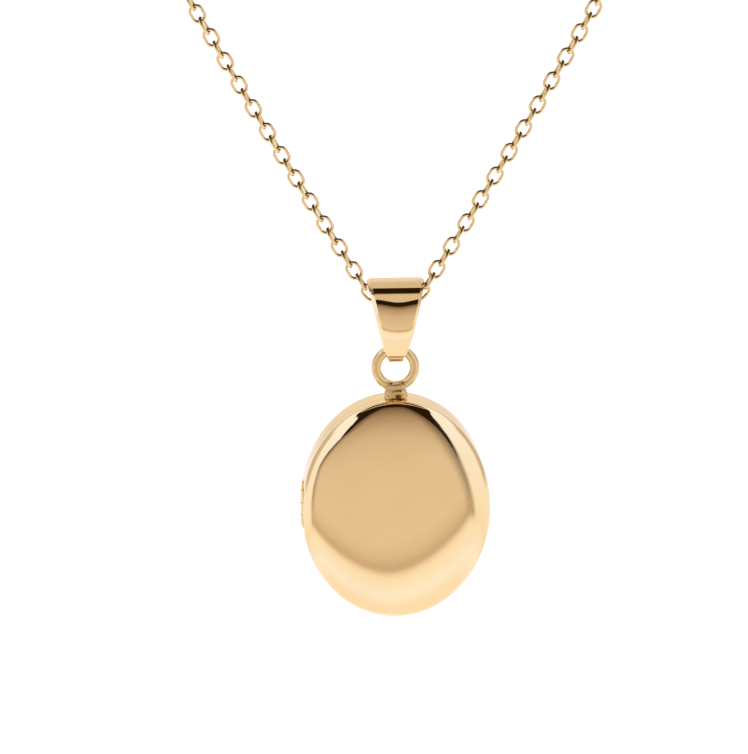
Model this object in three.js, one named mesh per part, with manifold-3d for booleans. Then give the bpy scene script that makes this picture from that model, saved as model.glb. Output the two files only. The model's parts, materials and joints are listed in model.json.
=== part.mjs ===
// An oval gold locket on a cable chain: two domed covers on a side hinge, a hanging ring
// soldered to the back cover, a tapered strap bail and the run of chain that passes through it.
// Millimetres. +Z is up, -Y is the front, +X is the right of someone facing the front.
// The origin is the centre of the flat oval on the back, which lies against the wearer.
import * as THREE from "three";
import { mergeVertices } from "three/addons/utils/BufferGeometryUtils.js";
import Module from "manifold-3d";

const wasm = await Module();
wasm.setup();

// ---- driving dimensions ------------------------------------------------------------------

// Covers: an oval 16.5 wide and 19.7 tall, made as round shells of OVAL_R that are then stretched.
const HALF_WIDTH = 8.25;
const HALF_HEIGHT = 9.85;
const OVAL_R = 9;
const SHELL = 0.45;
const AROUND = 40;
const DOME_STEPS = 6;
const DOME_POWER = 2.2; // 2 is an ellipse; a little more gives a fuller shoulder
const BACK = { wall: 1.9, rise: 0.9, flat: 4.5 };
const FRONT = { wall: 0.8, rise: 2.0, flat: 0 };
const PARTING_Y = -(BACK.wall + BACK.rise); // the plane where the covers meet

// Snap lip: an angle-section ring fixed in the back cover, which the front cover closes over.
const LIP_OUTER_R = OVAL_R - SHELL - 0.05;
const LIP_INNER_R = LIP_OUTER_R - 0.3;
const LIP_REACH = 0.5;
const LEDGE_R = 7.4;
const LEDGE_H = 1.42;
const LEDGE_T = 0.23;

// Picture frames and their clear windows, one pair in each half.
const FRAME_BORE_R = 7.1;
const FRAME_T = 0.42;
const WINDOW_T = 0.28;
const STACK_GAP = 0.03;
const BACK_FRAME = { outer: LIP_INNER_R - 0.08, level: 0.5 };
const FRONT_FRAME = { outer: OVAL_R - SHELL - 0.15, level: 0.62 };

// Hinge on the left edge, on the parting plane and sunk almost flush with the covers.
const HINGE_X = -(HALF_WIDTH - 0.24);
const HINGE_HALF = 1.6;
const BARREL_R = 0.3;
const BORE_R = 0.14;
const PIN_R = 0.12;
const BARREL_GAP = 0.06;
const CENTRE_KNUCKLE_HALF = 0.52;
const KNUCKLE_GAP = 0.03;
// The covers are filed flat wherever they would stand outside the pin's line, so that they can
// swing past each other.
const RELIEF_DEPTH = 1.2;
const RELIEF_HALF = HALF_HEIGHT * Math.sqrt(1 - (HINGE_X / HALF_WIDTH) ** 2) + 0.1;

// Thumbnail groove on the right edge, opposite the hinge.
const NAIL_R = 0.3;
const NAIL_LENGTH = 3.2;
const NAIL_DEPTH = 0.18;

// Hanging ring and the solder seat that carries it, both on the back cover's top.
const RING_Y = PARTING_Y + 0.4;
const RING_WIRE_R = 0.42;
const RING_R = 1.665;
const RING_Z = HALF_HEIGHT + 0.6 + RING_WIRE_R + RING_R;
const RING_SPLIT = 0.08;
const SEAT = {
  width: 2.3,
  depth: 1.65,
  front: PARTING_Y + 0.05,
  top: HALF_HEIGHT + 1.08,
  bottom: HALF_HEIGHT - 0.4,
};
const SOLDER_GAP = 0.03;

// Bail: a strap bent into an egg-shaped loop, wide at the top and narrow round the ring.
const STRAP_T = 0.4;
const FOOT_R = 1.14; // outside radius round the ring
const FOOT_TURN_DEG = 20; // how far past level the foot's arc gives way to the belly
const BELLY_R = 2.3; // half of the loop's depth
const BELLY_RISE = 2.4; // height of the widest level over the foot's centre
const CROWN_RISE = 4; // height of the top over the widest level
const BAIL_FOOT_Z = RING_Z + RING_R;
const BAIL_TOP_Z = BAIL_FOOT_Z + BELLY_RISE + CROWN_RISE;
const BAIL_HALF_WIDTHS = [
  { rise: -FOOT_R, half: 0.72 },
  { rise: 0, half: 1.05 },
  { rise: BELLY_RISE + CROWN_RISE, half: 2.55 },
];

// Chain: one link inside the bail and an arm of links on each side, each link a quarter turn
// from the last. The centre link lies flat to the front.
const ARM_LINKS = 24;
const LINK_LENGTH = 1.8;
const LINK_WIDTH = 1.35;
const LINK_WIRE_R = 0.14;
const LINK_PITCH = 1.21;
const CHAIN_Z = BAIL_TOP_Z - STRAP_T - 1.46; // the centre link, under the bail's crown
const DIP_DEG = 8; // slope of the first link out from the centre
const EDGE_DEG = 47; // slope of the link at the bail's edge
const ARM_START_DEG = 58.3;
const ARM_BEND_DEG = 0.13; // the arm steepens by this much from each link to the next

// ---- solids and meshes -------------------------------------------------------------------

// A closed geometry as a solid that can be joined and cut.
function solid(geometry) {
  const bare = geometry.clone();
  bare.deleteAttribute("normal");
  bare.deleteAttribute("uv");
  const merged = mergeVertices(bare, 1e-4);
  return new wasm.Manifold(
    new wasm.Mesh({
      numProp: 3,
      vertProperties: merged.attributes.position.array,
      triVerts: new Uint32Array(merged.index.array),
    }),
  );
}

// A solid's surface as a geometry again.
function surface(body) {
  const mesh = body.getMesh();
  const geometry = new THREE.BufferGeometry();
  geometry.setAttribute("position", new THREE.BufferAttribute(mesh.vertProperties, 3));
  geometry.setIndex(new THREE.BufferAttribute(mesh.triVerts, 1));
  geometry.computeVertexNormals();
  return geometry;
}

const locket = new THREE.Group();
locket.name = "locket";

const GOLD = { color: 0xe3bd88, roughness: 0.1, metalness: 1 };
const SOLDER = { color: 0xd9b37c, roughness: 0.35, metalness: 1 };
const CLEAR = { color: 0xf4f6f6, roughness: 0.05, metalness: 0, transparent: true, opacity: 0.35 };

function addMesh(name, geometry, finish) {
  const mesh = new THREE.Mesh(geometry, new THREE.MeshStandardMaterial(finish));
  mesh.name = name;
  locket.add(mesh);
  return mesh;
}

// A round turned piece, stretched to the oval. Its profile is (radius, height above the parting
// plane), and `half` is BACK or FRONT: heights in the front half run the other way.
function turned(points, half) {
  const geometry = new THREE.LatheGeometry(points, AROUND);
  if (half === FRONT) geometry.rotateZ(Math.PI);
  geometry.scale(HALF_WIDTH / OVAL_R, 1, HALF_HEIGHT / OVAL_R);
  return geometry.translate(0, PARTING_Y, 0);
}

const at = (radius, height) => new THREE.Vector2(radius, height);

// A cylinder along Z, centred on (x, y, z).
function rod(radius, length, x, y, z) {
  const geometry = new THREE.CylinderGeometry(radius, radius, length, 16);
  return solid(geometry.rotateX(Math.PI / 2).translate(x, y, z));
}

function block(width, depth, height, x, y, z) {
  return solid(new THREE.BoxGeometry(width, depth, height).translate(x, y, z));
}

// ---- covers ------------------------------------------------------------------------------

// From the rim to the axis: a straight wall, then a rounded shoulder that meets the flat middle.
function domeOutline({ wall, rise, flat }, inset) {
  const points = [at(OVAL_R - inset, 0)];
  for (let i = 0; i <= DOME_STEPS; i++) {
    const turn = (i / DOME_STEPS) * (Math.PI / 2);
    const out = i === DOME_STEPS ? 0 : Math.cos(turn) ** (2 / DOME_POWER);
    const radius = flat + (OVAL_R - inset - flat) * out;
    points.push(at(radius, wall + (rise - inset) * Math.sin(turn) ** (2 / DOME_POWER)));
  }
  if (flat > 0) points.push(at(0, wall + rise - inset));
  return points;
}

function shell(half) {
  const inside = domeOutline(half, SHELL).reverse();
  return solid(turned([...inside, ...domeOutline(half, 0)], half));
}

// The knuckle zones along the hinge: the centre one is the front cover's, the outer two the back's.
const outerLength = HINGE_HALF - CENTRE_KNUCKLE_HALF - KNUCKLE_GAP;
const outerMiddle = HINGE_HALF - outerLength / 2;

// Barrel pieces of one radius in the back cover's two zones, or in the front cover's one.
function barrel(half, radius, extra) {
  if (half === FRONT) {
    return rod(radius, 2 * CENTRE_KNUCKLE_HALF + extra, HINGE_X, PARTING_Y, 0);
  }
  const piece = (z) => rod(radius, outerLength + extra, HINGE_X, PARTING_Y, z);
  return piece(outerMiddle).add(piece(-outerMiddle));
}

// One cover: its shell, filed flat beside the hinge, cleared for the other cover's knuckles,
// then joined to its own and bored for the pin.
function cover(half) {
  const other = half === BACK ? FRONT : BACK;
  const filed = block(2, 2 * RELIEF_DEPTH, 2 * RELIEF_HALF, HINGE_X - 1, PARTING_Y, 0);
  const nail = rod(NAIL_R, NAIL_LENGTH, HALF_WIDTH + NAIL_R - NAIL_DEPTH, PARTING_Y, 0);
  const bore = rod(BORE_R, 3 * HINGE_HALF, HINGE_X, PARTING_Y, 0);
  return shell(half)
    .subtract(filed)
    .subtract(barrel(other, BARREL_R + BARREL_GAP, 2 * KNUCKLE_GAP))
    .add(barrel(half, BARREL_R, 0))
    .subtract(bore)
    .subtract(nail);
}

function addCovers() {
  addMesh("back_cover", surface(cover(BACK)), GOLD);
  addMesh("front_cover", surface(cover(FRONT)), GOLD);
  const pin = rod(PIN_R, 2 * HINGE_HALF, HINGE_X, PARTING_Y, 0);
  addMesh("hinge_pin", surface(pin), GOLD);
}

// ---- inside ------------------------------------------------------------------------------

// The lip ring is open at the hinge, where the barrel takes its place.
function addSnapLip() {
  const section = [
    at(LIP_OUTER_R, -LIP_REACH),
    at(LIP_OUTER_R, LEDGE_H + LEDGE_T),
    at(LEDGE_R, LEDGE_H + LEDGE_T),
    at(LEDGE_R, LEDGE_H),
    at(LIP_INNER_R, LEDGE_H),
    at(LIP_INNER_R, -LIP_REACH),
    at(LIP_OUTER_R, -LIP_REACH),
  ];
  const gap = block(1.9, 8, 2 * HINGE_HALF + 0.4, HINGE_X, PARTING_Y, 0);
  addMesh("snap_lip", surface(solid(turned(section, BACK)).subtract(gap)), GOLD);
}

// A flat oval frame with a bevel towards the picture.
function frameSection({ outer, level }) {
  const bevel = FRAME_T * 0.6;
  return [
    at(outer, level),
    at(outer, level + FRAME_T),
    at(FRAME_BORE_R, level + FRAME_T),
    at(FRAME_BORE_R, level + bevel),
    at(FRAME_BORE_R + bevel, level),
    at(outer, level),
  ];
}

function windowSection({ outer, level }) {
  const near = level + FRAME_T + STACK_GAP;
  const radius = Math.min(outer, OVAL_R - 1.2);
  return [at(0, near), at(radius, near), at(radius, near + WINDOW_T), at(0, near + WINDOW_T)];
}

function addPictureFrames() {
  const halves = [
    ["back", BACK, BACK_FRAME],
    ["front", FRONT, FRONT_FRAME],
  ];
  for (const [word, half, frame] of halves) {
    addMesh(`${word}_photo_frame`, turned(frameSection(frame), half), GOLD);
    addMesh(`${word}_photo_window`, turned(windowSection(frame), half), CLEAR);
  }
}

// ---- ring and bail -----------------------------------------------------------------------

function ringSolid(wireRadius) {
  const torus = new THREE.TorusGeometry(RING_R, wireRadius, 10, 30);
  return solid(torus.rotateX(Math.PI / 2).translate(0, RING_Y, RING_Z));
}

// The ring is split at the bottom, and the seat fills the space between it and the cover.
function addRingAndSeat() {
  const split = block(RING_SPLIT, 2, 1.2, 0, RING_Y, RING_Z - RING_R);
  addMesh("hanging_ring", surface(ringSolid(RING_WIRE_R).subtract(split)), GOLD);

  const height = SEAT.top - SEAT.bottom;
  const middle = SEAT.front + SEAT.depth / 2;
  const lump = block(SEAT.width, SEAT.depth, height, 0, middle, SEAT.bottom + height / 2);
  const outline = domeOutline(BACK, -SOLDER_GAP);
  const coverBody = solid(turned([at(0, -0.2), at(OVAL_R + SOLDER_GAP, -0.2), ...outline], BACK));
  const seat = lump.subtract(coverBody).subtract(ringSolid(RING_WIRE_R + SOLDER_GAP));
  addMesh("ring_seat", surface(seat), SOLDER);
}

// The loop seen from the side, with its foot's centre at the origin: an arc round the ring, two
// flanks that swell to the belly, and half an oval over it. `inset` runs it inside the strap.
function loopOutline(path, inset) {
  const quarter = 0.5523; // handle length of a cubic that draws a quarter of an oval
  const foot = FOOT_R - inset;
  const belly = BELLY_R - inset;
  const crown = CROWN_RISE - inset;
  const turn = THREE.MathUtils.degToRad(FOOT_TURN_DEG);
  const footX = foot * Math.cos(turn);
  const footY = -foot * Math.sin(turn);
  const handle = BELLY_RISE * 0.4;
  const nearX = footX + handle * Math.sin(turn);
  const nearY = footY + handle * Math.cos(turn);
  const top = BELLY_RISE + crown;
  path.moveTo(-footX, footY);
  path.absarc(0, 0, foot, Math.PI + turn, 2 * Math.PI - turn);
  path.bezierCurveTo(nearX, nearY, belly, BELLY_RISE - handle, belly, BELLY_RISE);
  path.bezierCurveTo(belly, BELLY_RISE + quarter * crown, quarter * belly, top, 0, top);
  path.bezierCurveTo(-quarter * belly, top, -belly, BELLY_RISE + quarter * crown, -belly, BELLY_RISE);
  path.bezierCurveTo(-belly, BELLY_RISE - handle, -nearX, nearY, -footX, footY);
  return path;
}

// The strap seen from the front, above the foot's centre, a little longer than the loop.
function strapOutline() {
  const [low, waist, high] = BAIL_HALF_WIDTHS;
  const over = 0.2;
  const right = [
    at(low.half, low.rise - over),
    at(low.half, low.rise),
    at(waist.half, waist.rise),
    at(high.half, high.rise),
    at(high.half, high.rise + over),
  ];
  const left = right.map((p) => at(-p.x, p.y)).reverse();
  return new THREE.Shape([...right, ...left]);
}

// An outline drawn across and upwards, made into a solid of the given depth about its plane.
function extruded(shape, depth) {
  const options = { depth, bevelEnabled: false, curveSegments: 9 };
  return new THREE.ExtrudeGeometry(shape, options).translate(0, 0, -depth / 2);
}

function addBail() {
  const side = loopOutline(new THREE.Shape(), 0);
  side.holes.push(loopOutline(new THREE.Path(), STRAP_T));
  const loop = extruded(side, 6).rotateX(Math.PI / 2).rotateZ(Math.PI / 2);
  const front = extruded(strapOutline(), 6).rotateX(Math.PI / 2);
  const strap = solid(loop).intersect(solid(front)).translate([0, RING_Y, BAIL_FOOT_Z]);
  addMesh("bail", surface(strap), GOLD);
}

// ---- chain -------------------------------------------------------------------------------

// A link: a ring of wire drawn out into an oval along X.
function linkGeometry() {
  const endRadius = LINK_WIDTH / 2 - LINK_WIRE_R;
  const geometry = new THREE.TorusGeometry(endRadius, LINK_WIRE_R, 6, 14);
  const stretch = (LINK_LENGTH - LINK_WIDTH) / 2;
  const place = geometry.attributes.position;
  for (let i = 0; i < place.count; i++) {
    place.setX(i, place.getX(i) + Math.sign(place.getX(i)) * stretch);
  }
  return geometry;
}

// The slope of a link, counted outwards from the centre link.
function slopeOf(index) {
  if (index < 3) return THREE.MathUtils.degToRad([0, DIP_DEG, EDGE_DEG][index]);
  return THREE.MathUtils.degToRad(ARM_START_DEG + ARM_BEND_DEG * (index - 3));
}

function addLink(name, geometry, x, z, slope, edgeOn) {
  const link = addMesh(name, geometry, GOLD);
  const along = new THREE.Vector3(Math.cos(slope), 0, Math.sin(slope));
  const depth = new THREE.Vector3(0, 1, 0);
  const across = edgeOn ? depth : new THREE.Vector3(-along.z, 0, along.x);
  const normal = new THREE.Vector3().crossVectors(along, across);
  link.quaternion.setFromRotationMatrix(new THREE.Matrix4().makeBasis(along, across, normal));
  link.position.set(x, RING_Y, z);
}

// One arm of the chain. `side` is 1 for the right and -1 for the left.
function addArm(word, side, geometry) {
  let x = LINK_PITCH / 2;
  let z = CHAIN_Z;
  for (let index = 1; index <= ARM_LINKS; index++) {
    const slope = slopeOf(index);
    const dx = LINK_PITCH * Math.cos(slope);
    const dz = LINK_PITCH * Math.sin(slope);
    const name = `link_${word}_${String(index).padStart(2, "0")}`;
    addLink(name, geometry, side * (x + dx / 2), z + dz / 2, side * slope, index % 2 === 1);
    x += dx;
    z += dz;
  }
}

function addChain() {
  const geometry = linkGeometry();
  addLink("link_centre", geometry, 0, CHAIN_Z, 0, false);
  addArm("left", -1, geometry);
  addArm("right", 1, geometry);
}

addCovers();
addSnapLip();
addPictureFrames();
addRingAndSeat();
addBail();
addChain();

export default locket;
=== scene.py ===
"""An oval gold locket on a cable chain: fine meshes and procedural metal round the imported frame."""

import json
import math
import random

import bmesh
import bpy
import numpy as np
from mathutils import Matrix, Vector, noise


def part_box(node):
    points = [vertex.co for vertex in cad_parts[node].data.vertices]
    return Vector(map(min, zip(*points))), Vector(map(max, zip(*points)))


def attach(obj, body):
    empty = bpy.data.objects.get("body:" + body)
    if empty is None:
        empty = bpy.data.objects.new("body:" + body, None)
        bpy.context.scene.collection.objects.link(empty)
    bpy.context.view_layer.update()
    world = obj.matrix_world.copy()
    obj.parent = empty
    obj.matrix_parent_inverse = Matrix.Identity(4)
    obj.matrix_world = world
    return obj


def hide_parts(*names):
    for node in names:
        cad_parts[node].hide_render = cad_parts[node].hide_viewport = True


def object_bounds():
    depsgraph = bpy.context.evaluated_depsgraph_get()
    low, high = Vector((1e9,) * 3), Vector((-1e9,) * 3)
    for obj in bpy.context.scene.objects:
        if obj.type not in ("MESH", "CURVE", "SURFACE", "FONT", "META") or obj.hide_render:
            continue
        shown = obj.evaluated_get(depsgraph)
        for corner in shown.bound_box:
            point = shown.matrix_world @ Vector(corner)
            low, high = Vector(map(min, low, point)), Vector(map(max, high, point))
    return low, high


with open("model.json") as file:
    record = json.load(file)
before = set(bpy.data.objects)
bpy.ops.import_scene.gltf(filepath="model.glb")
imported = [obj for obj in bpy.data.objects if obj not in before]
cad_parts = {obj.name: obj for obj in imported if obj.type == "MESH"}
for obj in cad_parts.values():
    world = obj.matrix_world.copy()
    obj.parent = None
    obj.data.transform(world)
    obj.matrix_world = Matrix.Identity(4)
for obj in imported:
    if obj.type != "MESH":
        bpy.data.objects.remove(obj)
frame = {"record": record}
cad_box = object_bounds()
joints = {j["name"]: j for j in frame["record"]["behaviour"]["joints"]}
rng = random.Random(7)

# Meshes are built in millimetres and scaled on the way into the scene.
MM = 0.001


def box_mm(node):
    low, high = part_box(node)
    return low / MM, high / MM


# ---- dimensions in millimetres ---------------------------------------------------------------

HINGE = Vector(joints["cover_hinge"]["pos_m"]) / MM
PARTING_Y = HINGE.y
HALF_WIDTH = box_mm("back_cover")[1].x
HALF_HEIGHT = box_mm("back_cover")[1].z
OVAL_R = 9.0
SHELL = 0.45
DOME_POWER = 2.2
BACK = {"sign": 1, "wall": 1.9, "rise": 0.9, "flat": 4.5}
FRONT = {"sign": -1, "wall": 0.8, "rise": 2.0, "flat": 0.0}
RIM_ROUND = 0.015
DOME_RINGS = 44
AROUND = 288

BARREL_R, BORE_R, PIN_R = 0.3, 0.14, 0.12
HINGE_HALF, KNUCKLE_HALF, KNUCKLE_GAP, BARREL_GAP = 1.6, 0.52, 0.03, 0.06
RELIEF_DEPTH = 1.2

LIP_OUTER = OVAL_R - SHELL - 0.05
LIP_INNER = LIP_OUTER - 0.3
FRAME_BORE, FRAME_T, WINDOW_T, STACK_GAP = 7.1, 0.42, 0.28, 0.03

RING_WIRE = 0.42
COLLAR_CLEAR, COLLAR_STEP = 0.03, 0.32  # over the front cover, and how far behind it the step starts

LINK_LENGTH, LINK_WIDTH, LINK_WIRE, LINK_PITCH = 1.8, 1.35, 0.14, 1.21
EXTRA_LINKS = 4


# ---- node graphs ---------------------------------------------------------------------------------


class Graph:
    """Shader nodes written as nested calls."""

    def __init__(self, tree):
        self.tree = tree
        tree.nodes.clear()

    def put(self, socket, value):
        if isinstance(value, bpy.types.NodeSocket):
            self.tree.links.new(value, socket)
        else:
            socket.default_value = value

    def node(self, kind, inputs=None, **settings):
        made = self.tree.nodes.new(kind)
        for key, value in settings.items():
            setattr(made, key, value)
        for key, value in (inputs or {}).items():
            self.put(made.inputs[key], value)
        return made

    def math(self, operation, *values):
        made = self.node("ShaderNodeMath", operation=operation)
        for socket, value in zip(made.inputs, values):
            self.put(socket, value)
        return made.outputs[0]

    def step(self, value, low, high, start=0.0, end=1.0):
        made = self.node("ShaderNodeMapRange", interpolation_type="SMOOTHSTEP")
        for socket, given in zip(made.inputs, (value, low, high, start, end)):
            self.put(socket, given)
        return made.outputs[0]

    def span(self, value, low, high, start, end):
        """A straight run from start to end while the value goes from low to high."""
        made = self.node("ShaderNodeMapRange", interpolation_type="LINEAR")
        for socket, given in zip(made.inputs, (value, low, high, start, end)):
            self.put(socket, given)
        return made.outputs[0]

    def inside(self, value, low, high, soft):
        """One between low and high, nought outside, with soft edges."""
        over = self.step(self.math("DIVIDE", self.math("SUBTRACT", value, low), soft), -1.0, 1.0)
        under = self.step(self.math("DIVIDE", self.math("SUBTRACT", high, value), soft), -1.0, 1.0)
        return self.math("MULTIPLY", over, under)

    def ramp(self, value, stops):
        """Colours or numbers between 0 and 1 at given values, joined by straight runs."""
        low, high = stops[0][0], stops[-1][0]
        made = self.node("ShaderNodeValToRGB", {"Fac": self.span(value, low, high, 0.0, 1.0)})
        knots = made.color_ramp.elements
        while len(knots) < len(stops):
            knots.new(1.0)
        for knot, (where, tone) in zip(knots, stops):
            knot.position = (where - low) / (high - low)
            tone = tone if isinstance(tone, tuple) else (tone,) * 3
            knot.color = (*tone, 1.0)
        return made.outputs["Color"]

    def mix(self, factor, first, second):
        made = self.node("ShaderNodeMix", data_type="RGBA")
        self.put(made.inputs[0], factor)
        self.put(made.inputs[6], colour(first))
        self.put(made.inputs[7], colour(second))
        return made.outputs[2]

    def noise(self, vector, scale, detail=2.0, roughness=0.5):
        inputs = {"Vector": vector, "Scale": scale, "Detail": detail, "Roughness": roughness}
        return self.node("ShaderNodeTexNoise", inputs).outputs["Fac"]


def colour(value):
    return (*value, 1.0) if isinstance(value, tuple) and len(value) == 3 else value


def to_linear(red, green, blue):
    """A screen colour, 0 to 255, as linear light."""
    parts = [v / 255 for v in (red, green, blue)]
    return tuple(v / 12.92 if v <= 0.04045 else ((v + 0.055) / 1.055) ** 2.4 for v in parts)


# ---- materials -----------------------------------------------------------------------------------

GOLD = (0.95, 0.70, 0.38)


def scratches(g, place, angle, scale):
    """Hair-fine polishing lines: noise drawn out along one direction."""
    inputs = {"Vector": place, "Rotation": (0.3, 0.2, angle), "Scale": (scale, 0.35, scale)}
    drawn = g.node("ShaderNodeMapping", inputs)
    return g.step(g.noise(drawn.outputs[0], 1.0, 3.0, 0.6), 0.52, 0.72)


def metal(name, base, polish, unevenness=0.0, lean=None, painted_reflection=False):
    """Polished metal. `polish` is its roughness, `unevenness` the height of its lumps in mm,
    `lean` a function that turns its normals. The last flag paints a dark reflection into its colour by mirrored
    direction, with a faint painted glow."""
    material = bpy.data.materials.new(name)
    material.use_nodes = True
    g = Graph(material.node_tree)
    coordinates = g.node("ShaderNodeTexCoord")
    millimetres = g.node("ShaderNodeVectorMath", {0: coordinates.outputs["Object"]}, operation="SCALE")
    millimetres.inputs["Scale"].default_value = 1 / MM
    place = millimetres.outputs[0]

    lines = g.math("ADD", scratches(g, place, 0.5, 14.0), scratches(g, place, -0.9, 19.0))
    cloud = g.noise(place, 0.55, 4.0)
    haze = g.math("MULTIPLY", g.step(cloud, 0.35, 0.75), polish * 0.8)
    roughness = g.math("ADD", g.math("ADD", haze, polish), g.math("MULTIPLY", lines, polish * 0.5))

    warm = g.mix(g.step(g.noise(place, 0.3, 2.0), 0.3, 0.7), base, tuple(v * 0.975 for v in base))
    dulled = tuple(v * 0.9 for v in base)
    tint = g.mix(g.math("MULTIPLY", lines, 0.12), warm, dulled)
    # painted reflection: where the mirrored direction rises into a band of elevations, and not far to the side, the
    # colour is painted near black, standing in for a dark canopy overhead
    if painted_reflection:
        mirrored = g.node("ShaderNodeSeparateXYZ", {0: coordinates.outputs["Reflection"]})
        rise = g.math("DEGREES", g.math("ARCSINE", mirrored.outputs["Z"]))
        aside = g.math("ABSOLUTE", mirrored.outputs["X"])
        under = g.math("MULTIPLY", g.inside(rise, *PAINTED_DARK_RISE, 9.0), g.step(aside, 0.9, 0.6))
        tint = g.mix(under, tint, (0.03, 0.016, 0.003))

    height = {"Height": lines, "Strength": 0.05, "Distance": 0.002 * MM}
    if lean:
        height["Normal"] = lean(g, place)
    last = g.node("ShaderNodeBump", height)
    if unevenness:
        lumps = g.noise(place, 2.4, 2.5, 0.5)
        inputs = {"Height": lumps, "Strength": 1.0, "Distance": unevenness * MM}
        last = g.node("ShaderNodeBump", {**inputs, "Normal": last.outputs[0]})
    inputs = {"Base Color": tint, "Metallic": 1.0, "Roughness": roughness, "Normal": last.outputs[0]}
    # the painted dark reflection also gets a faint painted glow and a browner specular tint
    if painted_reflection:
        inputs |= {"Emission Color": g.mix(under, (0.0, 0.0, 0.0), PAINTED_GLOW_TONE), "Emission Strength": 1.0}
        inputs["Specular Tint"] = g.mix(under, (1.0, 1.0, 1.0), (0.4, 0.25, 0.08))
    shader = g.node("ShaderNodeBsdfPrincipled", inputs)
    output = g.node("ShaderNodeOutputMaterial")
    g.tree.links.new(shader.outputs[0], output.inputs[0])
    material.diffuse_color = (*base, 1)
    return material


def crown_lean(g, place):
    """Normals over the front of the bail's crown: a soft fold, then a rounder top than the strap's
    own, as the height over the foot's centre goes up."""
    at = g.node("ShaderNodeSeparateXYZ", {0: place})
    above = g.math("SUBTRACT", at.outputs["Z"], BAIL_FOOT.z)
    aside = g.math("POWER", g.math("DIVIDE", g.math("ABSOLUTE", at.outputs["X"]), 1.45), 8.0)
    corner = g.math("MULTIPLY", g.math("MINIMUM", g.math("MULTIPLY", aside, 0.45), 0.7), g.step(above, 3.7, 3.1))
    wave = g.math("COSINE", g.math("SUBTRACT", g.math("MULTIPLY", at.outputs["X"], 1.45), 0.3))
    wave = g.math("MULTIPLY", g.math("MULTIPLY", wave, 0.13), g.step(above, 5.25, 4.95))
    rise = g.math("ADD", above, g.math("SUBTRACT", wave, g.math("MULTIPLY", g.step(above, 5.25, 4.95), 0.07)))
    rise = g.math("SUBTRACT", rise, corner)
    turn = g.ramp(rise, [(where, (value + 40) / 140) for where, value in CROWN_NORMALS])
    turn = g.math("RADIANS", g.math("SUBTRACT", g.math("MULTIPLY", turn, 140.0), 40.0))

    normal = g.node("ShaderNodeNewGeometry").outputs["Normal"]
    turning = {"vector_type": "NORMAL"}
    local = g.node("ShaderNodeVectorTransform", {0: normal}, convert_from="WORLD", convert_to="OBJECT", **turning)
    own = g.node("ShaderNodeSeparateXYZ", {0: local.outputs[0]})
    across = g.math("SQRT", g.math("SUBTRACT", 1.0, g.math("POWER", own.outputs["X"], 2.0)))
    forward = g.math("MULTIPLY", g.math("MULTIPLY", g.math("COSINE", turn), across), -1.0)
    upward = g.math("MULTIPLY", g.math("SINE", turn), across)
    leaned = g.node("ShaderNodeCombineXYZ", {"X": own.outputs["X"], "Y": forward, "Z": upward})

    front = g.step(at.outputs["Y"], BAIL_FOOT.y - 0.02, BAIL_FOOT.y - 0.3)
    outer = g.step(own.outputs["Y"], -0.02, -0.15)
    over = g.step(rise, CROWN_NORMALS[0][0], CROWN_NORMALS[1][0])
    share = g.math("MULTIPLY", g.math("MULTIPLY", front, outer), over)
    blend = g.node("ShaderNodeMix", data_type="VECTOR")
    g.put(blend.inputs[0], share)
    g.put(blend.inputs[4], local.outputs[0])
    g.put(blend.inputs[5], leaned.outputs[0])
    back = g.node(
        "ShaderNodeVectorTransform", {0: blend.outputs[1]}, convert_from="OBJECT", convert_to="WORLD", **turning
    )
    return g.node("ShaderNodeVectorMath", {0: back.outputs[0]}, operation="NORMALIZE").outputs[0]


def clear_plastic():
    material = bpy.data.materials.new("clear_window")
    material.use_nodes = True
    g = Graph(material.node_tree)
    place = g.node("ShaderNodeTexCoord").outputs["Object"]
    marks = g.step(g.noise(place, 1.5 / MM, 6.0, 0.7), 0.62, 0.8)
    shader = g.node(
        "ShaderNodeBsdfPrincipled",
        {
            "Base Color": (0.95, 0.96, 0.96, 1.0),
            "Roughness": g.math("ADD", g.math("MULTIPLY", marks, 0.15), 0.03),
            "IOR": 1.49,
            "Transmission Weight": 1.0,
            "Alpha": 0.6,
        },
    )
    output = g.node("ShaderNodeOutputMaterial")
    g.tree.links.new(shader.outputs[0], output.inputs[0])
    return material


PAINTED_DARK_RISE = (12.0, 100.0)  # elevations of the mirrored direction where a link's colour is painted dark, degrees
# the faint painted glow of the links where their dark reflection is painted
PAINTED_GLOW_TONE = (0.06, 0.032, 0.003)
BAIL_FOOT = Vector(joints["bail_swing"]["pos_m"]) / MM
CROWN_NORMALS = (
    # height over the foot's centre in mm, elevation of the normal in degrees
    (1.1, -31.0),
    (1.4, -21.0),
    (1.9, -12.0),
    (2.25, -7.4),
    (2.45, -4.6),
    (2.75, 5.0),
    (3.6, 11.5),
    (4.1, 17.0),
    (4.3, 25.0),
    (4.44, 36.5),
    (4.7, 46.0),
    (4.82, 51.6),
    (5.46, 55.4),
    (5.82, 66.0),
    (5.92, 76.0),
    (6.4, 95.0),
)

POLISHED = metal("polished_gold", GOLD, 0.035)
FOLDED = metal("folded_gold", GOLD, 0.035, lean=crown_lean)
# the chain's gold has a painted dark reflection and a faint painted glow
CHAIN = metal("chain_gold", (0.90, 0.64, 0.32), 0.08, painted_reflection=True)
WORN = metal("worn_gold", (0.83, 0.58, 0.27), 0.18, unevenness=0.012)
SOLDERED = metal("gold_solder", (0.73, 0.495, 0.22), 0.24, unevenness=0.07)
CLEAR = clear_plastic()

# ---- meshes --------------------------------------------------------------------------------------


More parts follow.
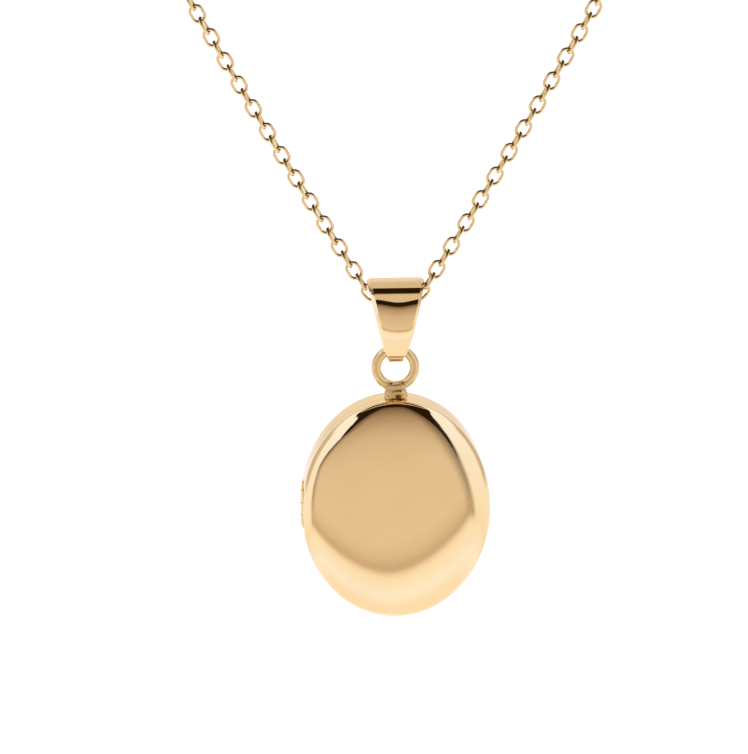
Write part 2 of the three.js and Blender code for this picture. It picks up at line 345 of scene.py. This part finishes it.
def mesh_of(points, wrap_u=True, wrap_v=True):
    """A skin over a grid of points. A row whose points coincide becomes one pole."""
    grid = np.asarray(points, float)
    rows, columns = grid.shape[:2]
    bm = bmesh.new()
    made = []
    for row in grid:
        if np.ptp(row, axis=0).max() < 1e-9:
            made.append([bm.verts.new(row[0])] * columns)
        else:
            made.append([bm.verts.new(p) for p in row])
    for i in range(rows if wrap_u else rows - 1):
        here, there = made[i], made[(i + 1) % rows]
        for k in range(columns if wrap_v else columns - 1):
            corner = [here[k], here[(k + 1) % columns], there[(k + 1) % columns], there[k]]
            unique = list(dict.fromkeys(corner))
            if len(unique) > 2:
                bm.faces.new(unique)
    return bm


def finish_mesh(bm, name, sharp_deg=32):
    """Faces out, smooth except over edges sharper than the given angle; millimetres."""
    bmesh.ops.recalc_face_normals(bm, faces=bm.faces)
    limit = math.radians(sharp_deg)
    for face in bm.faces:
        face.smooth = True
    for edge in bm.edges:
        edge.smooth = len(edge.link_faces) == 2 and edge.calc_face_angle(0) < limit
    mesh = bpy.data.meshes.new(name)
    bm.to_mesh(mesh)
    bm.free()
    made = bpy.data.objects.new(name, mesh)
    bpy.context.scene.collection.objects.link(made)
    return made


def combine(target, tool, operation):
    """Joins or cuts the target with the tool, which is used up."""
    modifier = target.modifiers.new("combine", "BOOLEAN")
    modifier.operation = operation
    modifier.object = tool
    modifier.solver = "EXACT"
    graph = bpy.context.evaluated_depsgraph_get()
    mesh = bpy.data.meshes.new_from_object(target.evaluated_get(graph))
    target.modifiers.clear()
    target.data = mesh
    bpy.data.objects.remove(tool)


def resharpen(target, sharp_deg=32):
    """Marks smooth and sharp edges again after the cuts."""
    bm = bmesh.new()
    bm.from_mesh(target.data)
    bmesh.ops.remove_doubles(bm, verts=bm.verts, dist=1e-4)
    limit = math.radians(sharp_deg)
    for face in bm.faces:
        face.smooth = True
    for edge in bm.edges:
        edge.smooth = len(edge.link_faces) == 2 and edge.calc_face_angle(0) < limit
    bm.to_mesh(target.data)
    bm.free()


def place(made, material, body, nodes=(), slot="gold"):
    """Scales a millimetre object into the scene and hangs it on its body."""
    made.data.transform(Matrix.Scale(MM, 4))
    made.data.materials.clear()
    made.data.materials.append(material)
    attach(made, body)
    if nodes:
        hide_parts(*nodes)
    return made


def rounded(path, steps=4):
    """A closed outline from (x, y, corner radius) points, with its corners rounded."""
    out = []
    count = len(path)
    for i, (x, y, radius) in enumerate(path):
        here = Vector((x, y))
        if radius <= 0:
            out.append(here)
            continue
        before = Vector(path[i - 1][:2]) - here
        after = Vector(path[(i + 1) % count][:2]) - here
        cut = min(radius, before.length * 0.49, after.length * 0.49)
        a, b = here + before.normalized() * cut, here + after.normalized() * cut
        for k in range(steps + 1):
            t = k / steps
            out.append((1 - t) ** 2 * a + 2 * t * (1 - t) * here + t * t * b)
    return out


def turned(outline, half, wrap=True):
    """An outline of (radius, height over the parting plane) turned and stretched to the oval."""
    angles = np.linspace(0, 2 * np.pi, AROUND, endpoint=False)
    rows = []
    for radius, height in outline:
        x = radius / OVAL_R * HALF_WIDTH * np.cos(angles)
        z = radius / OVAL_R * HALF_HEIGHT * np.sin(angles)
        y = np.full(AROUND, PARTING_Y + half["sign"] * height)
        rows.append(np.stack([x, y, z], axis=1))
    return mesh_of(rows, wrap_u=wrap)


def rod(radius, low, high, x, y, sides=40, round_by=0.0):
    """A bar along Z with rounded ends."""
    outline = [(0.0, low)]
    outline += [tuple(p) for p in rounded([(radius, low, round_by)], 1)] if round_by <= 0 else []
    if round_by > 0:
        for k in range(5):
            turn = k / 4 * math.pi / 2
            reach = radius - round_by * (1 - math.sin(turn))
            outline.append((reach, low + round_by * (1 - math.cos(turn))))
        for k in range(5):
            turn = k / 4 * math.pi / 2
            reach = radius - round_by * (1 - math.cos(turn))
            outline.append((reach, high - round_by * (1 - math.sin(turn))))
    else:
        outline.append((radius, high))
    outline.append((0.0, high))
    angles = np.linspace(0, 2 * np.pi, sides, endpoint=False)
    rows = [
        np.stack([x + r * np.cos(angles), y + r * np.sin(angles), np.full(sides, z)], axis=1)
        for r, z in outline
    ]
    return mesh_of(rows, wrap_u=False)


def block(low, high):
    bm = bmesh.new()
    bmesh.ops.create_cube(bm, size=1.0)
    size, middle = Vector(high) - Vector(low), (Vector(low) + Vector(high)) / 2
    for v in bm.verts:
        v.co = Vector(c * s for c, s in zip(v.co, size)) + middle
    return bm


# ---- covers --------------------------------------------------------------------------------------


def dome(half, inset):
    """From the rim's shoulder to the middle, (radius, height) points of one cover's surface."""
    points = []
    for i in range(DOME_RINGS + 1):
        turn = i / DOME_RINGS * math.pi / 2
        out = max(0.0, math.cos(turn)) ** (2 / DOME_POWER) if i < DOME_RINGS else 0.0
        reach = half["flat"] + (OVAL_R - inset - half["flat"]) * out
        rise = (half["rise"] - inset) * math.sin(turn) ** (2 / DOME_POWER)
        points.append((reach, half["wall"] + rise))
    if half["flat"] > 0:
        points += [(half["flat"] * (1 - k / 6), half["wall"] + half["rise"] - inset) for k in (1, 2, 3, 4, 5, 6)]
    return points


def cover_outline(half):
    outer = dome(half, 0.0)
    inner = dome(half, SHELL)
    e = RIM_ROUND
    rim = []
    for k in range(6):
        turn = k / 5 * math.pi / 2
        rim.append((OVAL_R - e * (1 - math.cos(turn)), e * (1 - math.sin(turn))))
    wall = [(OVAL_R, half["wall"] * f) for f in (0.75, 0.5, 0.25)]
    inside = [(OVAL_R - SHELL + 0.03, 0.0), (OVAL_R - SHELL, 0.03), (OVAL_R - SHELL, half["wall"] * 0.5)]
    return outer[::-1] + wall + rim + inside + inner


def knuckles(half, radius, extra):
    """Barrel pieces along the hinge: the middle one is the front cover's, the outer two the back's."""
    if half is FRONT:
        zones = [(-KNUCKLE_HALF - extra, KNUCKLE_HALF + extra)]
    else:
        near, far = KNUCKLE_HALF + KNUCKLE_GAP - extra, HINGE_HALF + extra
        zones = [(near, far), (-far, -near)]
    return [rod(radius, low, high, HINGE.x, HINGE.y, round_by=0.0 if extra else 0.04) for low, high in zones]


def cover(name, half, other):
    made = finish_mesh(turned(cover_outline(half), half, wrap=False), name)
    reach = HALF_HEIGHT * math.sqrt(1 - (HINGE.x / HALF_WIDTH) ** 2) + 0.1
    filed = block(
        (HINGE.x - 2, PARTING_Y - RELIEF_DEPTH, -reach), (HINGE.x, PARTING_Y + RELIEF_DEPTH, reach)
    )
    combine(made, finish_mesh(filed, "tool"), "DIFFERENCE")
    for tool in knuckles(other, BARREL_R + BARREL_GAP, KNUCKLE_GAP):
        combine(made, finish_mesh(tool, "tool"), "DIFFERENCE")
    for tool in knuckles(half, BARREL_R, 0.0):
        combine(made, finish_mesh(tool, "tool"), "UNION")
    bore = rod(BORE_R, -3 * HINGE_HALF, 3 * HINGE_HALF, HINGE.x, HINGE.y)
    combine(made, finish_mesh(bore, "tool"), "DIFFERENCE")
    nail = rod(0.3, -1.6, 1.6, HALF_WIDTH + 0.12, PARTING_Y, round_by=0.25)
    combine(made, finish_mesh(nail, "tool"), "DIFFERENCE")
    resharpen(made)
    return made


def add_covers():
    back = cover("back_cover_shell", BACK, FRONT)
    place(back, POLISHED, "back_half", ["back_cover"])
    front = cover("front_cover_shell", FRONT, BACK)
    place(front, POLISHED, "front_half", ["front_cover"])
    low, high = box_mm("hinge_pin")
    pin = finish_mesh(rod(PIN_R, low.z, high.z, HINGE.x, HINGE.y, round_by=0.05), "pin")
    place(pin, POLISHED, "back_half", ["hinge_pin"])


def add_inside():
    ledge_r, ledge_h, ledge_t, reach = 7.4, 1.42, 0.23, 0.5
    outline = rounded(
        [
            (LIP_OUTER, -reach, 0.08),
            (LIP_OUTER, ledge_h + ledge_t, 0.03),
            (ledge_r, ledge_h + ledge_t, 0.05),
            (ledge_r, ledge_h, 0.05),
            (LIP_INNER, ledge_h, 0.03),
            (LIP_INNER, -reach, 0.08),
        ]
    )
    lip = finish_mesh(turned(outline, BACK), "snap_lip_ring")
    gap = HINGE_HALF + 0.2
    tool = block((HINGE.x - 0.95, PARTING_Y - 4, -gap), (HINGE.x + 0.95, PARTING_Y + 4, gap))
    combine(lip, finish_mesh(tool, "tool"), "DIFFERENCE")
    resharpen(lip)
    place(lip, POLISHED, "back_half", ["snap_lip"])

    halves = [
        ("back", BACK, "back_half", LIP_INNER - 0.08, 0.5),
        ("front", FRONT, "front_half", OVAL_R - SHELL - 0.15, 0.62),
    ]
    for word, half, body, outer, level in halves:
        bevel = FRAME_T * 0.6
        outline = rounded(
            [
                (outer, level, 0.06),
                (outer, level + FRAME_T, 0.03),
                (FRAME_BORE, level + FRAME_T, 0.03),
                (FRAME_BORE, level + bevel, 0.03),
                (FRAME_BORE + bevel, level, 0.05),
            ]
        )
        made = finish_mesh(turned(outline, half), f"{word}_frame")
        place(made, POLISHED, body, [f"{word}_photo_frame"])
        near = level + FRAME_T + STACK_GAP
        radius = min(outer, OVAL_R - 1.2)
        pane = [(0, near)] + [(radius * k / 6, near) for k in (2, 4, 5)]
        pane += [(radius - 0.04, near), (radius, near + 0.04)]
        pane += [(radius, near + WINDOW_T - 0.04), (radius - 0.04, near + WINDOW_T)]
        pane += [(radius * k / 6, near + WINDOW_T) for k in (5, 4, 2)] + [(0, near + WINDOW_T)]
        made = finish_mesh(turned(pane, half, wrap=False), f"{word}_window")
        place(made, CLEAR, body, [f"{word}_photo_window"], slot="clear_plastic")


# ---- ring, solder and bail -------------------------------------------------------------------------


def add_ring():
    low, high = box_mm("hanging_ring")
    wire = RING_WIRE
    radius = (high.x - low.x) / 2 - wire
    centre = Vector((0, (low.y + high.y) / 2, high.z - wire - radius))
    split = 0.04 / radius  # half the angle of the gap in the ring
    rows = []
    turns = 150
    for i in range(turns + 1):
        angle = -math.pi / 2 + split + (2 * math.pi - 2 * split) * i / turns
        end = min(i, turns - i)
        shrink = [0.0, 0.7, 0.9, 0.98][end] if end < 4 else 1.0
        tight = wire * shrink * (1 + 0.012 * math.sin(3 * angle + 1))
        loop = []
        for k in range(28):
            around = 2 * math.pi * k / 28
            out = radius + tight * math.cos(around)
            loop.append((out * math.cos(angle), tight * math.sin(around), out * math.sin(angle)))
        rows.append([Vector(p) + centre for p in loop])
    bm = mesh_of(rows, wrap_u=False)
    made = finish_mesh(bm, "split_ring", 50)
    place(made, WORN, "back_half", ["hanging_ring"])
    return centre, radius, wire


def add_solder(centre, radius, wire):
    """An uneven collar of solder between the ring and the top of the back cover."""
    low, high = box_mm("ring_seat")
    collar = (
        # height over the seat's foot, half width, half depth
        (0.00, 0.80, 0.50),
        (0.10, 1.02, 0.62),
        (0.42, 1.06, 0.66),
        (0.66, 1.00, 0.62),
        (0.80, 0.84, 0.50),
        (0.92, 0.98, 0.58),
        (1.08, 1.08, 0.62),
        (1.24, 0.98, 0.58),
        (1.36, 0.66, 0.46),
    )
    heights, widths, depths = zip(*collar)
    around, up = 96, 64
    rows = []
    for i in range(up + 1):
        rise = heights[-1] * i / up
        wide, deep = np.interp(rise, heights, widths), np.interp(rise, heights, depths)
        cap = 0.0 if i in (0, up) else 1.0
        row = []
        for k in range(around):
            turn = 2 * math.pi * k / around
            out, front = math.cos(turn), math.sin(turn)
            square = (abs(out) ** 3 + abs(front) ** 3) ** (-1 / 3)
            point = Vector((wide * out * square, deep * front * square, rise))
            lump = noise.fractal(point * 1.1 + Vector((2.3, 0.7, 5.1)), 0.9, 2.0, 2)
            sag = 0.12 * math.sin(2.1 * point.x + 0.6)
            grow = cap * (1 + 0.2 * lump)
            spot = Vector((point.x * grow, centre.y - 0.12 + point.y * grow, low.z + rise + sag * cap))
            if spot.y < PARTING_Y + COLLAR_STEP:
                # over the front cover, which has to pass under it
                rim = HALF_HEIGHT * math.sqrt(1 - (spot.x / HALF_WIDTH) ** 2)
                spot.z = max(spot.z, rim + COLLAR_CLEAR)
            row.append(spot)
        rows.append(row)
    made = finish_mesh(mesh_of(rows, wrap_u=False), "solder_collar", 75)
    place(made, SOLDERED, "back_half", ["ring_seat"], slot="solder")


class Bail:
    """The strap's loop seen from the side, and its width."""

    FOOT_R, TURN, BELLY_RISE, CROWN_RISE, STRAP = 1.14, math.radians(20), 2.4, 4.0, 0.4
    BELLY_R = 2.3
    SEAM = math.radians(24)  # how far under level the front flap ends
    SEAM_HALF = 0.045

    def __init__(self):
        low, high = box_mm("bail")
        self.y = (low.y + high.y) / 2
        self.foot_z = low.z + self.FOOT_R
        self.top_z = high.z

    def middle_line(self):
        """Points of the strap's middle from the seam round the foot's underside, up the back, over
        the crown and down the front, with the outward normal of each, in (y, z)."""
        inset = self.STRAP / 2
        foot, belly, crown = self.FOOT_R - inset, self.BELLY_R - inset, self.CROWN_RISE - inset
        handle = self.BELLY_RISE * 0.4
        c, s = math.cos(self.TURN), math.sin(self.TURN)
        side = [(foot * c, -foot * s), (foot * c + handle * s, -foot * s + handle * c)]
        side += [(belly, self.BELLY_RISE - handle), (belly, self.BELLY_RISE)]
        quarter = 0.5523
        top = self.BELLY_RISE + crown
        over = [(belly, self.BELLY_RISE), (belly, self.BELLY_RISE + quarter * crown)]
        over += [(quarter * belly, top), (0.0, top)]
        points = []
        arc = np.linspace(math.pi + self.TURN, 2 * math.pi - self.TURN, 40)
        points += [(foot * math.cos(a), foot * math.sin(a)) for a in arc[:-1]]
        points += self.cubic(side, 34)[:-1]
        points += self.cubic(over, 44)[:-1]
        points += [(-y, z) for y, z in self.cubic(over, 44)[::-1]][:-1]
        points += [(-y, z) for y, z in self.cubic(side, 34)[::-1]][:-1]
        return np.array(points)

    @staticmethod
    def cubic(handles, steps):
        h = np.array(handles)
        t = np.linspace(0, 1, steps + 1)[:, None]
        return (
            (1 - t) ** 3 * h[0] + 3 * t * (1 - t) ** 2 * h[1] + 3 * t * t * (1 - t) * h[2] + t**3 * h[3]
        ).tolist()

    def half_width(self, rise):
        return float(
            np.interp(
                rise,
                [-self.FOOT_R, -0.43, -0.35, 0.1, 3.0, 5.0, 6.2, 6.4],
                [0.69, 0.70, 0.84, 1.06, 1.70, 2.19, 2.50, 2.48],
            )
        )

    def section(self, half, groove, rise):
        """Across the strap: (u, n) points with n outwards, bevelled and rounded along both edges."""
        thick = self.STRAP / 2
        fade = float(np.interp(rise, [-0.3, 3.2], [0.35, 1.0]))
        left, right = 0.34 * fade, 0.24 * fade
        low, high, crease = left - half, half - right, 0.012
        inner = [(u, 0.0) for u in (low, *np.linspace(low + crease, high - crease, 11), high)]
        turns = [0.03] + [t / 14 for t in range(1, 15)]
        across = [(left - half - left * t, t) for t in reversed(turns)] + inner
        across += [(half - right + right * t, t) for t in turns]

        def lift(over):
            return thick * (1 - 0.93 * over) * (1 - over**9) ** 0.5

        points = [(u, lift(over) - groove) for u, over in across]
        points += [(u, -lift(over)) for u, over in reversed(across[1:-1])]
        return points


def add_bail():
    bail = Bail()
    line = bail.middle_line()
    count = len(line)
    rows = []
    for i in range(count):
        ahead, behind = line[(i + 1) % count], line[i - 1]
        along = (ahead - behind) / np.linalg.norm(ahead - behind)
        normal = np.array([along[1], -along[0]])
        y, z = line[i]
        angle = math.atan2(-z, -y)  # under level on the front side
        off = abs(angle - bail.SEAM) * bail.FOOT_R
        groove = 0.16 * max(0.0, 1 - off / 0.1) if z < 0 and y < 0 else 0.0
        row = []
        for u, n in bail.section(bail.half_width(z), groove, z):
            row.append((u, bail.y + y + normal[0] * n, bail.foot_z + z + normal[1] * n))
        rows.append(row)
    made = finish_mesh(mesh_of(rows), "bail_strap", 60)
    place(made, FOLDED, "bail", ["bail"])


# ---- chain ---------------------------------------------------------------------------------------


def link_mesh(name, along, across, centre, twist):
    """A soldered oval of round wire about `centre`."""
    along, across = along.normalized(), across.normalized()
    normal = along.cross(across)
    turn = Matrix.Rotation(twist, 3, along)
    across, normal = turn @ across, turn @ normal
    bend = LINK_WIDTH / 2 - LINK_WIRE
    straight = (LINK_LENGTH - LINK_WIDTH) / 2
    path = []
    for end in (1, -1):
        for k in range(15):
            angle = math.pi * (k / 14 - 0.5) if end > 0 else math.pi * (k / 14 + 0.5)
            path.append((end * straight + bend * math.cos(angle), bend * math.sin(angle), angle))
        for k in (1, 2, 3, 4, 5):
            path.append((end * straight * (1 - k / 3), end * bend, math.pi / 2 * end))
    rows = []
    for x, y, angle in path:
        joint = math.exp(-((x / 0.09) ** 2)) if y < -bend * 0.99 else 0.0
        wire = LINK_WIRE * (1 + 0.09 * joint)
        row = []
        for k in range(14):
            around = 2 * math.pi * k / 14
            out, up = wire * math.cos(around), wire * math.sin(around)
            a = x + out * math.cos(angle)
            b = y + out * math.sin(angle)
            row.append(centre + along * a + across * b + normal * up)
        rows.append(row)
    return finish_mesh(mesh_of(rows), name, 80)


def add_link(name, centre, along, edge_on, body, nodes, twist):
    across = Vector((0, 1, 0)) if edge_on else Vector((-along.z, 0, along.x))
    place(link_mesh(name, along, across, centre, twist), CHAIN, body, nodes)


def middle_of(node):
    low, high = box_mm(node)
    return (low + high) / 2


def twist_of(word, index):
    """A link's own small turn about its length. The edge-on ones show a little of their side, and
    the ones beside the bail lie true."""
    own = rng.uniform(-4, 4)
    if index % 2 == 0:
        own += EDGE_ON_TWIST[word]
    return math.radians(own * min(1.0, index / 5))


EDGE_ON_TWIST = {"left": -8.0, "right": 1.0}  # degrees


def add_chain():
    add_link("chain_centre", middle_of("link_centre"), Vector((1, 0, 0)), False, "link_centre", ["link_centre"], 0)
    for word in ("left", "right"):
        names = sorted(n for n in frame["record"]["behaviour"]["bodies"] if n.startswith(f"link_{word}"))
        centres = [middle_of(n) for n in names]
        aims = []
        for here, following in zip(centres, names[1:]):
            kind = next(k for k in joints if k.startswith(following))
            aims.append((Vector(joints[kind]["pos_m"]) / MM - here).normalized())
        aims.append(aims[-1].copy())
        for index, (name, centre, aim) in enumerate(zip(names, centres, aims)):
            edge_on = index % 2 == 0
            add_link(name.replace("link", "chain"), centre, aim, edge_on, name, [name], twist_of(word, index))
        for extra in range(EXTRA_LINKS):
            centre = centres[-1] + aims[-1] * LINK_PITCH * (extra + 1)
            index = len(names) + extra
            name, edge_on = f"chain_{word}_{index + 1:02d}", index % 2 == 0
            add_link(name, centre, aims[-1], edge_on, names[-1], (), twist_of(word, index))


# ---- studio --------------------------------------------------------------------------------------


CARD = (
    # elevation in degrees, light: cream floor, the card's shaded edge, its tan face, brown above
    (-90.0, (1.04, 1.05, 1.08)),
    (-60.0, (1.05, 1.05, 1.08)),
    (-46.0, (1.06, 1.16, 1.42)),
    (-36.0, (1.05, 1.08, 1.15)),
    (-33.8, (1.02, 1.01, 1.00)),
    (-32.0, (0.85, 0.80, 0.75)),
    (-31.1, (0.67, 0.58, 0.51)),
    (-29.6, (0.66, 0.57, 0.50)),
    (-27.0, (0.77, 0.69, 0.63)),
    (-23.0, (0.84, 0.77, 0.71)),
    (-8.0, (0.815, 0.745, 0.70)),
    (4.0, (0.73, 0.65, 0.60)),
    (17.0, (0.545, 0.447, 0.393)),
    (34.0, (0.34, 0.27, 0.22)),
    (57.0, (0.16, 0.12, 0.085)),
)
TENT = (
    *CARD[:5],
    (-25.0, (1.04, 1.08, 1.18)),
    (-10.0, (1.04, 1.11, 1.30)),
    (10.0, (1.04, 1.14, 1.40)),
    (22.0, (1.05, 1.20, 1.55)),
    (60.0, (1.05, 1.20, 1.55)),
)
WEDGE = (0.69, 0.62, 0.57)
BEHIND = (
    (-30.0, (1.05, 1.12, 1.30)),
    (-14.0, (1.02, 1.05, 1.15)),
    (0.0, (0.90, 0.86, 0.81)),
    (20.0, (0.93, 0.88, 0.81)),
    (30.0, (0.77, 0.69, 0.64)),
    (60.0, (0.77, 0.69, 0.64)),
)
DARK = (0.022, 0.012, 0.003)
LID = (0.77, 0.69, 0.64)
LID_HALF, FRAME_HALF = 4.0, 31.0  # degrees either side of straight up, to the front and back


def scaled(stops, by):
    """Ramp colours stay under one, so light is stored halved and doubled again later."""
    return [(where, tuple(v * by for v in tone)) for where, tone in stops]


def scaled_numbers(stops, by):
    return [(where, value * by) for where, value in stops]


BLUNT = 7.0
LEFT_OUTLINE = ((4, 52), (9, 47), (13, 41), (17, 36), (31, 36), (40, 40), (47, 50), (53, 75), (58, 120))
RIGHT_OUTLINE = ((-20, 43.5), (-13, 39.5), (-7, 36.5), (0, 34.2), (8, 34.4), (20, 35), (36, 41), (45, 50), (52, 66), (58, 99))


def studio_world():
    """White to the camera; to polished metal, a pale tent with a tan card in front of the object."""
    world = bpy.data.worlds.new("studio")
    bpy.context.scene.world = world
    world.use_nodes = True
    g = Graph(world.node_tree)
    split = g.node("ShaderNodeSeparateXYZ", {0: g.node("ShaderNodeTexCoord").outputs["Generated"]})
    x, y, z = split.outputs
    azimuth = g.math("DEGREES", g.math("ARCTAN2", x, g.math("MULTIPLY", y, -1.0)))
    height = g.math("DEGREES", g.math("ARCSINE", z))
    side = g.math("ABSOLUTE", azimuth)

    # the card's lower edge is a shallow, blunt V, steeper on the right
    along = g.span(azimuth, -46.0, 35.0, -47.0, 34.0)
    bent = g.math("SUBTRACT", g.math("SQRT", g.math("ADD", g.math("POWER", along, 2.0), BLUNT**2)), BLUNT)
    lift = g.math("ADD", g.math("MULTIPLY", bent, 0.33), g.math("MULTIPLY", along, 0.10))
    lift = g.math("MULTIPLY", lift, g.step(height, 8.0, -8.0))
    lift = g.math("MULTIPLY", lift, g.step(side, 110.0, 45.0))
    lifted = g.math("SUBTRACT", height, lift)
    face = g.ramp(lifted, scaled(CARD, 0.5))

    # its dark side frames, thin at eye level and wide above
    inner_left = g.math("ADD", g.span(height, 8.0, 20.0, -44.0, -29.5), g.span(height, 20.0, 60.0, 0.0, 10.0))
    inner_left = g.math("ADD", inner_left, g.span(height, 2.0, 9.0, -8.0, 0.0))
    inner_right = g.math("ADD", g.span(height, 0.0, 60.0, 32.0, 19.5), g.span(height, -17.0, 0.0, 9.0, 0.0))
    outer_left = g.math("MULTIPLY", g.ramp(height, scaled_numbers(LEFT_OUTLINE, 1 / 180)), -180.0)
    outer_right = g.math("MULTIPLY", g.ramp(height, scaled_numbers(RIGHT_OUTLINE, 1 / 180)), 180.0)

    near_edge = g.math("MINIMUM", g.math("SUBTRACT", azimuth, inner_left), g.math("SUBTRACT", inner_right, azimuth))
    shaded = g.step(near_edge, 0.0, 12.0, 0.45, 1.0)
    shaded = g.math("MAXIMUM", shaded, g.span(height, -20.0, 2.0, 1.0, 0.0))
    face = g.mix(shaded, (0.0, 0.0, 0.0), face)
    half_dark = tuple(v / 2 for v in DARK)
    soft = g.step(height, 16.0, 0.0, 0.8, 3.2)
    card = g.mix(g.inside(azimuth, inner_left, inner_right, 0.8), half_dark, face)
    low_card = g.step(height, 3.0, -3.0)
    card = g.mix(low_card, card, face)

    tent = g.ramp(lifted, scaled(TENT, 0.5))
    behind = g.ramp(height, scaled(BEHIND, 0.5))
    tent = g.mix(g.step(side, 130.0, 160.0), tent, behind)
    wedge = g.math("MULTIPLY", g.inside(height, -6.0, 31.0, 5.0), g.inside(side, 82.0, 157.0, 8.0))
    tent = g.mix(wedge, tent, tuple(v / 2 for v in WEDGE))
    framed = g.inside(azimuth, outer_left, outer_right, soft)
    limit = g.math("MAXIMUM", g.step(g.math("ABSOLUTE", x), 0.62, 0.56), g.step(height, 23.0, 16.0))
    framed = g.math("MULTIPLY", framed, limit)
    seen = g.mix(framed, tent, card)

    # overhead, a lid right across in a dark frame
    lid = tuple(v / 2 for v in LID)
    pitch = g.math("ABSOLUTE", g.math("DEGREES", g.math("ARCTAN2", y, z)))
    above = g.mix(g.step(pitch, LID_HALF + 0.7, LID_HALF - 0.7), half_dark, lid)
    overhead = g.step(height, 88.0 - FRAME_HALF, 90.0 - FRAME_HALF)
    overhead = g.math("MULTIPLY", overhead, g.step(g.math("ABSOLUTE", x), 0.53, 0.49))
    seen = g.mix(overhead, seen, above)

    path = g.node("ShaderNodeLightPath")
    seen = g.mix(path.outputs["Is Diffuse Ray"], seen, (0.54, 0.54, 0.54))
    seen = g.mix(path.outputs["Is Camera Ray"], seen, (0.5, 0.5, 0.5))
    background = g.node("ShaderNodeBackground", {"Color": seen, "Strength": 2.0})
    output = g.node("ShaderNodeOutputWorld")
    g.tree.links.new(background.outputs[0], output.inputs[0])


def add_floor():
    low = cad_box[0]
    bm = bmesh.new()
    bmesh.ops.create_grid(bm, x_segments=24, y_segments=24, size=3.0)
    floor = finish_mesh(bm, "floor")
    floor.location = (0, 0, low.z - 0.03)
    material = bpy.data.materials.new("pale_floor")
    material.use_nodes = True
    g = Graph(material.node_tree)
    grain = g.noise(g.node("ShaderNodeTexCoord").outputs["Object"], 400.0, 3.0)
    tone = g.mix(g.step(grain, 0.3, 0.7), (0.93, 0.93, 0.93), (0.96, 0.96, 0.96))
    shader = g.node("ShaderNodeBsdfPrincipled", {"Base Color": tone, "Roughness": 0.9})
    shader.inputs["Specular IOR Level"].default_value = 0.0
    output = g.node("ShaderNodeOutputMaterial")
    g.tree.links.new(shader.outputs[0], output.inputs[0])
    floor.data.materials.append(material)
    floor.visible_glossy = False


def add_light():
    light = bpy.data.lights.new("softbox", "AREA")
    light.size, light.energy = 0.5, 1.2
    lamp = bpy.data.objects.new("softbox", light)
    lamp.location = (-0.25, -0.3, 0.6)
    lamp.rotation_euler = (Vector((0, 0, 0)) - lamp.location).to_track_quat("-Z", "Y").to_euler()
    lamp.visible_glossy = False
    bpy.context.scene.collection.objects.link(lamp)


def add_camera():
    """A long lens, 17 degrees over level and a little to the left."""
    azimuth, elevation = math.radians(-3), math.radians(17)
    back = Vector(
        (math.sin(azimuth) * math.cos(elevation), -math.cos(azimuth) * math.cos(elevation), math.sin(elevation))
    )
    right = Vector((math.cos(azimuth), math.sin(azimuth), 0))
    up = back.cross(right)
    aim = Vector((0, PARTING_Y, 0)) + right * -1.878 + up * 11.266
    distance, tall = 600.0, 754 / 11.45
    camera = bpy.data.cameras.new("camera")
    camera.sensor_width = 36.0
    camera.lens = 36.0 * distance / tall
    camera.clip_start, camera.clip_end = 0.05, 10.0
    made = bpy.data.objects.new("camera", camera)
    made.location = (aim + back * distance) * MM
    made.rotation_mode = "QUATERNION"
    made.rotation_quaternion = back.to_track_quat("Z", "Y")
    bpy.context.scene.collection.objects.link(made)
    bpy.context.scene.camera = made


add_covers()
add_inside()
add_solder(*add_ring())
add_bail()
add_chain()
studio_world()
add_floor()
add_light()
add_camera()
bpy.context.scene.view_settings.view_transform = "Standard"
